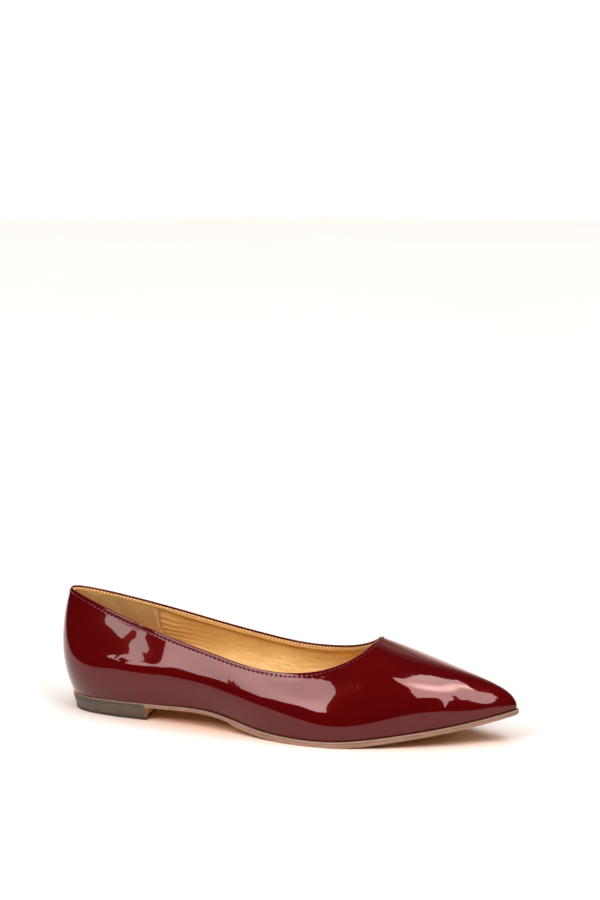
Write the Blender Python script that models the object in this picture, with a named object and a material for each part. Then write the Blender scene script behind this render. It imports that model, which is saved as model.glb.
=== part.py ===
"""A womens pointed toe flat, right foot: patent upper, sock, rubber outsole, low heel block and ribbed top piece.

Lengths are metres. The toe points along +X, +Z is up, and the outer side of the foot faces -Y.
Every surface is worked out from the feather line, which is the edge where the upper meets the sole.
"""
from collections import namedtuple

import bmesh
import bpy
import numpy as np

# Driving sizes of the last and the collar.
LAST_LENGTH = 0.264
BALL_WIDTH = 0.0788
HEEL_WIDTH = 0.050
COLLAR_WIDTH = 0.061
VAMP_LENGTH = 0.078
COLLAR_SETBACK = 0.0053
BACK_HEIGHT = 0.0572
SIDE_HEIGHT = 0.0318
THROAT_HEIGHT = 0.0456
INNER_RISE = 0.0015
TOE_SPRING = 0.0146

# Thicknesses, from the floor up.
TOP_PIECE_THICKNESS = 0.0016
HEEL_BLOCK_HEIGHT = 0.0054
WAIST_THICKNESS = 0.0023
TREAD_THICKNESS = 0.0035
TOE_THICKNESS = 0.0028
INSOLE_THICKNESS = 0.0026
WALL = 0.0018
COLLAR_ROLL = 0.0011
ROLL_DEPTH = 0.0042
GAP = 0.0003
TREAD_FLAT = 0.0003

# Sole edge, heel and tread details.
SOLE_RIM = 0.0012
SEAT_RIM = 0.0004
LIP_HEIGHT = 0.0009
LIP_GROOVE = 0.0004
EDGE_ROUND = 0.0006
TREAD_START = 0.116
TREAD_RAMP = 0.006
BREAST_POSITION = 0.060
BREAST_HOLLOW = 0.0025
BLOCK_INSET = 0.0004
BLOCK_TAPER = 0.0012
RIB_PITCH = 0.0019
RIB_GROOVE = 0.0008
RIB_DEPTH = 0.0005

# Mesh steps.
STEPS_PER_SECTION = 5
WALL_STEPS = 11
HEEL_STEPS = 16

Section = namedtuple(
    "Section",
    "foot_x rear foot_outer foot_inner collar_x collar_outer collar_inner"
    " back throat low_out low_up high_out high_down",
)
# One row for each pair of sections, from the toe tip to the heel back. foot_x is a share of LAST_LENGTH,
# rear mixes BALL_WIDTH (0) with HEEL_WIDTH (1), and foot_outer and foot_inner are shares of that width.
# collar_x is a share of the opening's length, and collar_outer and collar_inner are shares of COLLAR_WIDTH.
# back and throat say how far the collar's height has gone from SIDE_HEIGHT to BACK_HEIGHT or THROAT_HEIGHT.
# low_out and low_up are the handle at the feather line, as shares of BALL_WIDTH and the wall's height.
# high_out and high_down are the handle at the collar, as shares of VAMP_LENGTH and the wall's height.
SECTIONS = {
    "toe tip": Section(1.000, 0.00, -0.043, 0.043, 1.000, -0.018, 0.018, 0.00, 1.00, 0.017, 0.33, 0.537, 0.315),
    "toe": Section(0.950, 0.00, 0.098, 0.148, 0.993, 0.147, 0.153, 0.00, 0.92, 0.016, 0.32, 0.428, 0.265),
    "vamp front": Section(0.865, 0.00, 0.277, 0.286, 0.963, 0.293, 0.279, 0.00, 0.63, 0.032, 0.41, 0.292, 0.220),
    "vamp": Section(0.765, 0.00, 0.438, 0.419, 0.893, 0.428, 0.400, 0.00, 0.27, 0.041, 0.49, 0.162, 0.255),
    "ball": Section(0.655, 0.00, 0.549, 0.451, 0.794, 0.524, 0.474, 0.00, 0.06, 0.043, 0.49, 0.085, 0.285),
    "waist front": Section(0.535, 0.15, 0.550, 0.362, 0.655, 0.528, 0.475, 0.00, 0.00, 0.062, 0.53, 0.071, 0.350),
    "waist": Section(0.410, 0.50, 0.491, 0.342, 0.510, 0.467, 0.423, 0.04, 0.00, 0.102, 0.57, 0.082, 0.500),
    "quarter": Section(0.285, 0.80, 0.478, 0.421, 0.354, 0.391, 0.376, 0.30, 0.00, 0.138, 0.59, 0.095, 0.545),
    "heel side": Section(0.165, 1.00, 0.500, 0.480, 0.184, 0.266, 0.273, 0.62, 0.00, 0.160, 0.54, 0.106, 0.500),
    "heel corner": Section(0.065, 1.00, 0.352, 0.348, 0.044, 0.130, 0.130, 0.92, 0.00, 0.138, 0.38, 0.092, 0.390),
    "heel back": Section(0.032, 1.00, 0.000, 0.000, 0.000, 0.000, 0.000, 1.00, 0.00, 0.104, 0.32, 0.074, 0.314),
}

Bottom = namedtuple("Bottom", "x seat spring")
# The feather line seen from the side: x as a share of LAST_LENGTH, and how far its height has gone from
# the ball up to the heel seat, or up to the toe tip.
BOTTOM = [
    Bottom(0.00, 0.80, 0.000),
    Bottom(0.15, 0.94, 0.000),
    Bottom(0.28, 1.00, 0.000),
    Bottom(0.38, 0.97, 0.000),
    Bottom(0.48, 0.29, 0.000),
    Bottom(0.58, 0.00, 0.000),
    Bottom(0.68, 0.00, 0.027),
    Bottom(0.76, 0.00, 0.185),
    Bottom(0.86, 0.00, 0.452),
    Bottom(0.94, 0.00, 0.726),
    Bottom(1.00, 0.00, 1.000),
]

BALL_LEVEL = GAP + TREAD_THICKNESS - TREAD_FLAT
SEAT_LEVEL = TOP_PIECE_THICKNESS + HEEL_BLOCK_HEIGHT + WAIST_THICKNESS + 3 * GAP
OPENING_LENGTH = LAST_LENGTH - VAMP_LENGTH - COLLAR_SETBACK

PATENT_RED = (0.190, 0.006, 0.010)
SOCK_TAN = (0.520, 0.290, 0.110)
SOLE_TAUPE = (0.160, 0.115, 0.090)
HEEL_TAUPE = (0.150, 0.108, 0.085)
TREAD_BROWN = (0.060, 0.045, 0.035)


def spline(knots, values, closed=False):
    """A cubic curve through values at knots, with free ends or closed on itself. Returns it as a function."""
    knots = np.asarray(knots, float)
    values = np.asarray(values, float).reshape(len(knots), -1)
    step = np.diff(knots)
    slope = np.diff(values, axis=0) / step[:, None]
    count = len(knots) - 1 if closed else len(knots)
    matrix = np.eye(count)
    bend = np.zeros((count, values.shape[1]))
    for i in range(0 if closed else 1, len(knots) - 1):
        before, after = step[i - 1], step[i]
        matrix[i, i] = 2 * (before + after)
        matrix[i, (i - 1) % count] += before
        matrix[i, (i + 1) % count] += after
        bend[i] = 6 * (slope[i] - slope[i - 1])
    bend = np.linalg.solve(matrix, bend)
    if closed:
        bend = np.vstack([bend, bend[:1]])

    def at(place):
        place = np.atleast_1d(np.asarray(place, float))
        i = np.clip(np.searchsorted(knots, place, side="right") - 1, 0, len(step) - 1)
        width = step[i][:, None]
        left = (knots[i + 1] - place)[:, None]
        right = (place - knots[i])[:, None]
        curve = (bend[i] * left**3 + bend[i + 1] * right**3) / (6 * width)
        curve += (values[i] / width - bend[i] * width / 6) * left
        curve += (values[i + 1] / width - bend[i + 1] * width / 6) * right
        return curve

    return at


def smooth_step(value, start, end):
    """0 before start, 1 after end, and a soft ramp between them."""
    share = np.clip((value - start) / (end - start), 0, 1)
    return share * share * (3 - 2 * share)


bottom_shares = spline([row.x for row in BOTTOM], [(row.seat, row.spring) for row in BOTTOM])


def feather_level(x):
    """Height of the feather line above the floor."""
    shares = bottom_shares(x / LAST_LENGTH)
    return BALL_LEVEL + shares[:, 0] * (SEAT_LEVEL - BALL_LEVEL) + shares[:, 1] * TOE_SPRING


def sole_thickness(x):
    """The outsole is thin at the heel and waist, has a step up to its tread, and thins to the toe."""
    tread = smooth_step(x, TREAD_START - TREAD_RAMP, TREAD_START)
    toe = smooth_step(x, LAST_LENGTH - VAMP_LENGTH, LAST_LENGTH)
    full = TREAD_THICKNESS + toe * (TOE_THICKNESS - TREAD_THICKNESS)
    return WAIST_THICKNESS + tread * (full - WAIST_THICKNESS)


def section_sizes(row, side):
    """One section in metres: foot x, foot y, collar x, collar y, wall height and the two handles."""
    width = BALL_WIDTH + row.rear * (HEEL_WIDTH - BALL_WIDTH)
    height = SIDE_HEIGHT + row.back * (BACK_HEIGHT - SIDE_HEIGHT) + row.throat * (THROAT_HEIGHT - SIDE_HEIGHT)
    if side == "inner":
        height += INNER_RISE * (1 - row.back**4)
    foot = -row.foot_outer if side == "outer" else row.foot_inner
    collar = -row.collar_outer if side == "outer" else row.collar_inner
    return (
        row.foot_x * LAST_LENGTH,
        foot * width,
        COLLAR_SETBACK + row.collar_x * OPENING_LENGTH,
        collar * COLLAR_WIDTH,
        height,
        row.low_out * BALL_WIDTH,
        row.low_up * height,
        row.high_out * VAMP_LENGTH,
        row.high_down * height,
    )


def sections_around():
    """All sections in order: toe tip, down the outer side, heel back, up the inner side."""
    rows = list(SECTIONS.values())
    outer = [section_sizes(row, "outer") for row in rows]
    inner = [section_sizes(row, "inner") for row in rows[1:-1]]
    return np.array(outer + inner[::-1])


around_table = sections_around()
SECTION_COUNT = len(around_table)
around = spline(range(SECTION_COUNT + 1), np.vstack([around_table, around_table[:1]]), closed=True)
RING = SECTION_COUNT * STEPS_PER_SECTION
RING_PLACES = np.arange(RING) / STEPS_PER_SECTION
NUDGE = 1e-4


def outward(places, x_column):
    """Unit normals in plan of the foot outline (column 0) or the collar line (column 2)."""
    columns = slice(x_column, x_column + 2)
    along = around((places + NUDGE) % SECTION_COUNT)[:, columns]
    along = along - around((places - NUDGE) % SECTION_COUNT)[:, columns]
    normal = np.stack([-along[:, 1], along[:, 0]], axis=1)
    return normal / np.linalg.norm(normal, axis=1)[:, None]


def upper_points(places, rise):
    """Points of the upper's outer face: rise goes from 0 at the feather line to 1 at the collar."""
    sizes = around(places % SECTION_COUNT)
    foot = np.column_stack([sizes[:, :2], feather_level(sizes[:, 0])])
    collar = np.column_stack([sizes[:, 2:4], feather_level(sizes[:, 2]) + sizes[:, 4]])
    low = foot + np.column_stack([outward(places, 0) * sizes[:, 5:6], sizes[:, 6]])
    high = collar + np.column_stack([outward(places, 2) * sizes[:, 7:8], -sizes[:, 8]])
    rest = 1 - rise
    return rest**3 * foot + 3 * rest**2 * rise * low + 3 * rest * rise**2 * high + rise**3 * collar


def upper_normals(places, rise):
    """Outward unit normals of the upper's outer face."""
    high, low = min(rise + NUDGE, 1.0), max(rise - NUDGE, 0.0)
    up = upper_points(places, high) - upper_points(places, low)
    back = upper_points(places + NUDGE, rise) - upper_points(places - NUDGE, rise)
    normal = np.cross(up, back)
    return normal / np.linalg.norm(normal, axis=1)[:, None]


def feather_ring(offset, drop):
    """The foot outline grown by offset in plan, at drop below the feather line. Both may vary round the ring."""
    ring = around(RING_PLACES)[:, :2] + outward(RING_PLACES, 0) * np.reshape(offset, (-1, 1))
    return np.column_stack([ring, feather_level(ring[:, 0]) - drop])


def new_object(name, points, faces, material):
    """An object with this mesh, faces turned outward and smooth shaded up to 35 degrees."""
    mesh = bpy.data.meshes.new(name)
    mesh.from_pydata([tuple(point) for point in points], [], faces)
    work = bmesh.new()
    work.from_mesh(mesh)
    bmesh.ops.recalc_face_normals(work, faces=work.faces)
    work.to_mesh(mesh)
    work.free()
    mesh.shade_smooth()
    mesh.set_sharp_from_angle(angle=np.radians(35))
    mesh.materials.append(material)
    made = bpy.data.objects.new(name, mesh)
    bpy.context.scene.collection.objects.link(made)
    return made


def skin_faces(ring_count, size, closed):
    """Quads between rings of the same size, from each ring to the next, and back to the first if closed."""
    faces = []
    for ring in range(ring_count if closed else ring_count - 1):
        here, there = ring * size, (ring + 1) % ring_count * size
        for i in range(size):
            after = (i + 1) % size
            faces.append((here + i, here + after, there + after, there + i))
    return faces


def ladder_faces(size, start):
    """Rungs across a closed outline, from its outer side to its inner side."""
    half = size // 2
    faces = [(start, start + 1, start + size - 1)]
    for i in range(1, half - 1):
        faces.append((start + i, start + i + 1, start + size - i - 1, start + size - i))
    faces.append((start + half - 1, start + half, start + half + 1))
    return faces


def slab(name, rings, material):
    """A closed plate: rings one under the other, with rungs across the first and the last."""
    size = len(rings[0])
    faces = skin_faces(len(rings), size, closed=False)
    faces += ladder_faces(size, 0) + ladder_faces(size, (len(rings) - 1) * size)
    return new_object(name, np.vstack(rings), faces, material)


def paint(name, colour, roughness, coat=0.0):
    """A plain material of one colour."""
    made = bpy.data.materials.new(name)
    made.use_nodes = True
    shader = made.node_tree.nodes["Principled BSDF"]
    shader.inputs["Base Color"].default_value = (*colour, 1.0)
    shader.inputs["Roughness"].default_value = roughness
    shader.inputs["Metallic"].default_value = 0.0
    shader.inputs["Coat Weight"].default_value = coat
    return made


def wall_thickness(rise, height):
    """The wall is thicker inside its top edge, where the lining is rolled over."""
    below_edge = (1 - rise) * height
    return WALL + COLLAR_ROLL * (1 - smooth_step(below_edge, ROLL_DEPTH / 2, ROLL_DEPTH))


def inner_ring(rise):
    """A ring of the upper's inner face. The lowest one lies in plan behind the feather line."""
    if rise == 0:
        return feather_ring(-WALL, 0.0)
    thickness = wall_thickness(rise, around(RING_PLACES)[:, 4])
    return upper_points(RING_PLACES, rise) - upper_normals(RING_PLACES, rise) * thickness[:, None]


def make_upper(material):
    """One wall from the feather line up to the collar, over the rounded edge and down inside."""
    rises = np.linspace(0, 1, WALL_STEPS + 1)
    outer = [upper_points(RING_PLACES, rise) for rise in rises]
    inner = [inner_ring(rise) for rise in rises]
    up = outer[-1] - upper_points(RING_PLACES, 1 - NUDGE)
    up /= np.linalg.norm(up, axis=1)[:, None]
    crown = (outer[-1] + inner[-1]) / 2 + up * (WALL + COLLAR_ROLL) / 4
    rings = outer + [crown] + inner[::-1]
    faces = skin_faces(len(rings), RING, closed=True)
    return new_object("upper", np.vstack(rings), faces, material)


def make_insole(material):
    """The sock fills the floor of the shoe, and its edge follows the inside of the wall."""
    low, high = inner_ring(0), inner_ring(1 / WALL_STEPS)
    lean = (high - low) / (high - low)[:, 2:]
    inward = -outward(RING_PLACES, 0) * GAP
    edge = low + np.column_stack([inward, np.zeros(RING)])
    return slab("insole", [edge + lean * INSOLE_THICKNESS, edge], material)


def sole_rim(x):
    """How far the outsole stands out past the feather line: little at the seat, more at the forefoot."""
    return SEAT_RIM + smooth_step(x, BREAST_POSITION, TREAD_START) * (SOLE_RIM - SEAT_RIM)


def outsole_ring(inset, depth):
    """A ring of the outsole: inset from its widest edge, and depth below its top or None at its underside."""
    rim = sole_rim(around(RING_PLACES)[:, 0])
    ring = feather_ring(rim - inset, GAP)
    underside = np.maximum(ring[:, 2] - sole_thickness(ring[:, 0]), 0.0)
    if depth is None:
        ring[:, 2] = underside
    else:
        ring[:, 2] = np.maximum(ring[:, 2] - depth, underside + EDGE_ROUND)
    return ring


def make_outsole(material):
    """A thin rubber sole: a raised lip round its top, a fine groove under it and a rounded lower edge."""
    return slab(
        "outsole",
        [
            outsole_ring(LIP_HEIGHT / 2, 0.0),
            outsole_ring(0.0, LIP_HEIGHT / 2),
            outsole_ring(0.0, LIP_HEIGHT),
            outsole_ring(LIP_GROOVE, LIP_HEIGHT + LIP_GROOVE / 2),
            outsole_ring(LIP_GROOVE / 2, LIP_HEIGHT + LIP_GROOVE),
            outsole_ring(LIP_GROOVE / 2, WAIST_THICKNESS - EDGE_ROUND),
            outsole_ring(EDGE_ROUND, None),
        ],
        material,
    )


def heel_rows(inset):
    """Both sides of the heel's outline from the breast to the back, as equal rows of outer and inner points."""
    fine = np.linspace(SECTION_COUNT / 4, SECTION_COUNT / 2, 400)
    reach = BREAST_POSITION + BREAST_HOLLOW
    start = np.interp(-reach, -around(fine)[:, 0], fine)
    outer_places = np.linspace(start, SECTION_COUNT / 2, HEEL_STEPS + 1)
    rows = []
    for places in (outer_places, SECTION_COUNT - outer_places):
        rim = SEAT_RIM - inset
        rows.append(around(places)[:, :2] + outward(places, 0) * rim)
    return rows


def heel_outline(inset, level):
    """A closed ring round the heel: outer side from the breast to the back, then the inner side forward."""
    outer, inner = heel_rows(inset)
    ring = np.vstack([outer, inner[-2::-1]])
    height = level(ring[:, 0]) if callable(level) else np.full(len(ring), level)
    return np.column_stack([ring, height])


def heel_slab(name, rings, material):
    """A closed block with the heel's outline: skins between rings, and rungs across top and bottom."""
    size = len(rings[0])
    faces = skin_faces(len(rings), size, closed=False)
    for start in (0, (len(rings) - 1) * size):
        for i in range(HEEL_STEPS - 1):
            faces.append((start + i, start + i + 1, start + size - i - 2, start + size - i - 1))
        faces.append((start + HEEL_STEPS - 1, start + HEEL_STEPS, start + HEEL_STEPS + 1))
    return new_object(name, np.vstack(rings), faces, material)


def cutter(name, points, faces):
    """A helper that only cuts other pieces."""
    made = new_object(name, points, faces, paint(name, SOLE_TAUPE, 0.5))
    made.hide_render = True
    made.display_type = "WIRE"
    return made


def cut(piece, tool):
    """Takes the tool's shape out of the piece."""
    modifier = piece.modifiers.new(tool.name, "BOOLEAN")
    modifier.operation = "DIFFERENCE"
    modifier.solver = "EXACT"
    modifier.object = tool


def breast_cutter():
    """A tall round drum in front of the heel, which hollows its breast."""
    half = HEEL_WIDTH / 2
    radius = (half**2 + BREAST_HOLLOW**2) / (2 * BREAST_HOLLOW)
    centre = BREAST_POSITION - BREAST_HOLLOW + radius
    spread = np.arcsin(min(HEEL_WIDTH / radius, 1.0))
    angles = np.linspace(-spread, spread, 25)
    arc = np.column_stack([centre - radius * np.cos(angles), -radius * np.sin(angles)])
    front = arc[:, 0].max() + HEEL_WIDTH
    plan = np.vstack([arc, [[front, arc[-1, 1]], [front, arc[0, 1]]]])
    levels = (-HEEL_BLOCK_HEIGHT, SEAT_LEVEL + HEEL_BLOCK_HEIGHT)
    points = np.vstack([np.column_stack([plan, np.full(len(plan), level)]) for level in levels])
    count = len(plan)
    faces = skin_faces(2, count, closed=False)
    faces += [tuple(range(count)), tuple(range(count, 2 * count))]
    return cutter("breast_cutter", points, faces)


def rib_cutter():
    """Bars under the top piece, which leave ribs across its tread."""
    points, faces = [], []
    for middle in np.arange(RIB_PITCH, BREAST_POSITION + RIB_PITCH, RIB_PITCH):
        start = len(points)
        for x in (middle - RIB_GROOVE / 2, middle + RIB_GROOVE / 2):
            for y in (-HEEL_WIDTH, HEEL_WIDTH):
                points += [(x, y, -TOP_PIECE_THICKNESS), (x, y, RIB_DEPTH)]
        corners = [(0, 1, 3, 2), (4, 6, 7, 5), (0, 4, 5, 1), (2, 3, 7, 6), (0, 2, 6, 4), (1, 5, 7, 3)]
        faces += [tuple(start + corner for corner in face) for face in corners]
    return cutter("rib_cutter", np.array(points), faces)


def make_heel(block_material, tread_material):
    """The block tapers down under the seat, and the ribbed top piece lies under it on the floor."""
    block_foot = TOP_PIECE_THICKNESS + GAP
    foot_inset = BLOCK_INSET + BLOCK_TAPER

    def under_outsole(x):
        return feather_level(x) - 2 * GAP - WAIST_THICKNESS

    block = heel_slab(
        "heel_block",
        [heel_outline(BLOCK_INSET, under_outsole), heel_outline(foot_inset, block_foot)],
        block_material,
    )
    top_piece = heel_slab(
        "heel_top_piece",
        [
            heel_outline(foot_inset, TOP_PIECE_THICKNESS),
            heel_outline(foot_inset, EDGE_ROUND),
            heel_outline(foot_inset + EDGE_ROUND / 2, 0.0),
        ],
        tread_material,
    )
    breast = breast_cutter()
    cut(block, breast)
    cut(top_piece, breast)
    cut(top_piece, rib_cutter())
    return [block, top_piece]


def centre_on_floor(pieces):
    """Parents the pieces to an empty that puts the middle of the shoe's box over the origin."""
    corners = np.array([vertex.co for piece in pieces for vertex in piece.data.vertices])
    middle = (corners.min(axis=0) + corners.max(axis=0)) / 2
    shoe = bpy.data.objects.new("shoe", None)
    bpy.context.scene.collection.objects.link(shoe)
    shoe.location = (-middle[0], -middle[1], 0.0)
    for made in bpy.data.objects:
        if made.type == "MESH":
            made.parent = shoe


def main():
    for old in list(bpy.data.objects):
        bpy.data.objects.remove(old)
    pieces = [
        make_upper(paint("patent", PATENT_RED, 0.12, coat=1.0)),
        make_insole(paint("sock", SOCK_TAN, 0.55)),
        make_outsole(paint("sole_rubber", SOLE_TAUPE, 0.6)),
    ]
    pieces += make_heel(paint("heel_rubber", HEEL_TAUPE, 0.6), paint("tread_rubber", TREAD_BROWN, 0.7))
    centre_on_floor(pieces)


main()
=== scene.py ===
"""The right shoe of a womens pointed flat: dark red patent, tan lining, moulded rubber sole and a low heel.

The toe points along +X and the outer side faces -Y. Each shape is worked out in metres in the shoe's own frame,
with the heel's back at x = 0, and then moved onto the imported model. A place runs round the shoe from the toe tip (0)
down the outer side to the heel back (10) and up the inner side, and a rise goes from the sole (0) to the collar (1).
"""
from collections import namedtuple

import bmesh
import bpy
import numpy as np
from mathutils import Matrix, Vector, noise
from mathutils.geometry import tessellate_polygon


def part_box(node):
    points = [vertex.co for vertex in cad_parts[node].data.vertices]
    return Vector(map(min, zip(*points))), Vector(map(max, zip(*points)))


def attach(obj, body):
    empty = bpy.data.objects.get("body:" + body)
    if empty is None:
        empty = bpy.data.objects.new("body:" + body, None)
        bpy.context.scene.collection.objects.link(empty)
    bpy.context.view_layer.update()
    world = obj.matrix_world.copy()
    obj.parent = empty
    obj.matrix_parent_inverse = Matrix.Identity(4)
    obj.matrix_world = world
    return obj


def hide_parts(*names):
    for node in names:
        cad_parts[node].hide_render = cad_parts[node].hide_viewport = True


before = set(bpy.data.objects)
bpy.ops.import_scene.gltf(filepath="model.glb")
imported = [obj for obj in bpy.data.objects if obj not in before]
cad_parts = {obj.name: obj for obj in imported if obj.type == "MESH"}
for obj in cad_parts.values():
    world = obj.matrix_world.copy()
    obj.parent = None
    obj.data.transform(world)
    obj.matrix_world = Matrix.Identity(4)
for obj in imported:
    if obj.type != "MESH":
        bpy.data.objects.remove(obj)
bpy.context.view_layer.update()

MM = 0.001

# The shoe's sizes in metres, as in the solids.
LAST_LENGTH = 0.264
BALL_WIDTH = 0.0788
HEEL_WIDTH = 0.050
COLLAR_WIDTH = 0.061
VAMP_LENGTH = 0.078
COLLAR_SETBACK = 0.0053
BACK_HEIGHT = 0.0572
SIDE_HEIGHT = 0.0318
THROAT_HEIGHT = 0.0456
INNER_RISE = 0.0015
TOE_SPRING = 0.0146
TOP_PIECE_THICKNESS = 0.0016
HEEL_BLOCK_HEIGHT = 0.0054
WAIST_THICKNESS = 0.0023
TREAD_THICKNESS = 0.0035
TOE_THICKNESS = 0.0028
INSOLE_THICKNESS = 0.0026
WALL = 0.0018
GAP = 0.0003
TREAD_FLAT = 0.0003
SOLE_RIM = 0.0012
SEAT_RIM = 0.0004
TREAD_START = 0.116
TREAD_RAMP = 0.006
BREAST_POSITION = 0.060
BREAST_HOLLOW = 0.0025
BLOCK_INSET = 0.0004
BLOCK_TAPER = 0.0012

Section = namedtuple(
    "Section",
    "foot_x rear foot_outer foot_inner collar_x collar_outer collar_inner"
    " back throat low_out low_up high_out high_down",
)
SECTIONS = [
    Section(1.000, 0.00, -0.043, 0.043, 1.000, -0.018, 0.018, 0.00, 1.00, 0.017, 0.33, 0.537, 0.315),
    Section(0.950, 0.00, 0.098, 0.148, 0.993, 0.147, 0.153, 0.00, 0.92, 0.016, 0.32, 0.428, 0.265),
    Section(0.865, 0.00, 0.277, 0.286, 0.963, 0.293, 0.279, 0.00, 0.63, 0.032, 0.41, 0.292, 0.220),
    Section(0.765, 0.00, 0.438, 0.419, 0.893, 0.428, 0.400, 0.00, 0.27, 0.041, 0.49, 0.162, 0.255),
    Section(0.655, 0.00, 0.549, 0.451, 0.794, 0.524, 0.474, 0.00, 0.06, 0.043, 0.49, 0.085, 0.285),
    Section(0.535, 0.15, 0.550, 0.362, 0.655, 0.528, 0.475, 0.00, 0.00, 0.062, 0.53, 0.071, 0.350),
    Section(0.410, 0.50, 0.491, 0.342, 0.510, 0.467, 0.423, 0.04, 0.00, 0.102, 0.57, 0.082, 0.500),
    Section(0.285, 0.80, 0.478, 0.421, 0.354, 0.391, 0.376, 0.30, 0.00, 0.138, 0.59, 0.095, 0.545),
    Section(0.165, 1.00, 0.500, 0.480, 0.184, 0.266, 0.273, 0.62, 0.00, 0.160, 0.54, 0.106, 0.500),
    Section(0.065, 1.00, 0.352, 0.348, 0.044, 0.130, 0.130, 0.92, 0.00, 0.138, 0.38, 0.092, 0.390),
    Section(0.032, 1.00, 0.000, 0.000, 0.000, 0.000, 0.000, 1.00, 0.00, 0.104, 0.32, 0.074, 0.314),
]
# The feather line from the side: x, rise of the seat, toe spring.
BOTTOM = [
    (0.00, 0.80, 0.000), (0.15, 0.94, 0.000), (0.28, 1.00, 0.000), (0.38, 0.97, 0.000),
    (0.48, 0.29, 0.000), (0.58, 0.00, 0.000), (0.68, 0.00, 0.027), (0.76, 0.00, 0.185),
    (0.86, 0.00, 0.452), (0.94, 0.00, 0.726), (1.00, 0.00, 1.000),
]
BALL_LEVEL = GAP + TREAD_THICKNESS - TREAD_FLAT
SEAT_LEVEL = TOP_PIECE_THICKNESS + HEEL_BLOCK_HEIGHT + WAIST_THICKNESS + 3 * GAP
OPENING_LENGTH = LAST_LENGTH - VAMP_LENGTH - COLLAR_SETBACK
HEEL_BACK = 10
TOE_TIP = 20
# About how far one place reaches along the wall, and the small step that slopes are taken over.
PLACE_LENGTH = 21 * MM
NUDGE = 1e-4


def spline(knots, values, closed=False):
    """A cubic curve through values at knots, with free ends or closed on itself. Returns it as a function."""
    knots = np.asarray(knots, float)
    values = np.asarray(values, float).reshape(len(knots), -1)
    step = np.diff(knots)
    slope = np.diff(values, axis=0) / step[:, None]
    count = len(knots) - 1 if closed else len(knots)
    matrix = np.eye(count)
    bend = np.zeros((count, values.shape[1]))
    for i in range(0 if closed else 1, len(knots) - 1):
        before, after = step[i - 1], step[i]
        matrix[i, i] = 2 * (before + after)
        matrix[i, (i - 1) % count] += before
        matrix[i, (i + 1) % count] += after
        bend[i] = 6 * (slope[i] - slope[i - 1])
    bend = np.linalg.solve(matrix, bend)
    if closed:
        bend = np.vstack([bend, bend[:1]])

    def at(place):
        place = np.atleast_1d(np.asarray(place, float))
        i = np.clip(np.searchsorted(knots, place, side="right") - 1, 0, len(step) - 1)
        width = step[i][:, None]
        left = (knots[i + 1] - place)[:, None]
        right = (place - knots[i])[:, None]
        curve = (bend[i] * left**3 + bend[i + 1] * right**3) / (6 * width)
        curve += (values[i] / width - bend[i] * width / 6) * left
        curve += (values[i + 1] / width - bend[i + 1] * width / 6) * right
        return curve

    return at


def smooth_step(value, start, end):
    """0 before start, 1 after end, and a soft ramp between them."""
    share = np.clip((value - start) / (end - start), 0, 1)
    return share * share * (3 - 2 * share)


def bell(distance, width):
    """1 at no distance, fading softly to 0 over about twice the width."""
    return np.exp(-((distance / width) ** 2))


def unit(vectors):
    """Vectors of length 1."""
    return vectors / np.linalg.norm(vectors, axis=-1, keepdims=True)


bottom_shares = spline([row[0] for row in BOTTOM], [row[1:] for row in BOTTOM])


def feather_level(x):
    """Height of the feather line above the floor."""
    shares = bottom_shares(x / LAST_LENGTH)
    return BALL_LEVEL + shares[:, 0] * (SEAT_LEVEL - BALL_LEVEL) + shares[:, 1] * TOE_SPRING


def sole_thickness(x):
    """The outsole is thin at the heel and waist, steps up to its tread, and thins to the toe."""
    tread = smooth_step(x, TREAD_START - TREAD_RAMP, TREAD_START)
    toe = smooth_step(x, LAST_LENGTH - VAMP_LENGTH, LAST_LENGTH)
    full = TREAD_THICKNESS + toe * (TOE_THICKNESS - TREAD_THICKNESS)
    return WAIST_THICKNESS + tread * (full - WAIST_THICKNESS)


def section_sizes(row, inner):
    """One section in metres: foot x, foot y, collar x, collar y, wall height and the two handles."""
    width = BALL_WIDTH + row.rear * (HEEL_WIDTH - BALL_WIDTH)
    height = SIDE_HEIGHT + row.back * (BACK_HEIGHT - SIDE_HEIGHT) + row.throat * (THROAT_HEIGHT - SIDE_HEIGHT)
    if inner:
        height += INNER_RISE * (1 - row.back**4)
    foot = row.foot_inner if inner else -row.foot_outer
    collar = row.collar_inner if inner else -row.collar_outer
    return (
        row.foot_x * LAST_LENGTH, foot * width,
        COLLAR_SETBACK + row.collar_x * OPENING_LENGTH, collar * COLLAR_WIDTH, height,
        row.low_out * BALL_WIDTH, row.low_up * height, row.high_out * VAMP_LENGTH, row.high_down * height,
    )


around_table = [section_sizes(row, False) for row in SECTIONS]
around_table += [section_sizes(row, True) for row in SECTIONS[-2:0:-1]]
around = spline(range(TOE_TIP + 1), around_table + around_table[:1], closed=True)


def outward(places, x_column):
    """Unit normals in plan of the foot outline (column 0) or the collar line (column 2)."""
    columns = slice(x_column, x_column + 2)
    along = around((places + NUDGE) % TOE_TIP)[:, columns] - around((places - NUDGE) % TOE_TIP)[:, columns]
    return unit(np.stack([-along[:, 1], along[:, 0]], axis=1))


def wall_points(places, rises):
    """Points of the upper's outer face. Both arrays have the same shape, and the points add an axis of 3."""
    shape = places.shape
    places, rise = places.ravel(), rises.ravel()[:, None]
    sizes = around(places % TOE_TIP)
    foot = np.column_stack([sizes[:, :2], feather_level(sizes[:, 0])])
    collar = np.column_stack([sizes[:, 2:4], feather_level(sizes[:, 2]) + sizes[:, 4]])
    low = foot + np.column_stack([outward(places, 0) * sizes[:, 5:6], sizes[:, 6]])
    high = collar + np.column_stack([outward(places, 2) * sizes[:, 7:8], -sizes[:, 8]])
    rest = 1 - rise
    points = rest**3 * foot + 3 * rest**2 * rise * low + 3 * rest * rise**2 * high + rise**3 * collar
    return points.reshape(*shape, 3)


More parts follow.
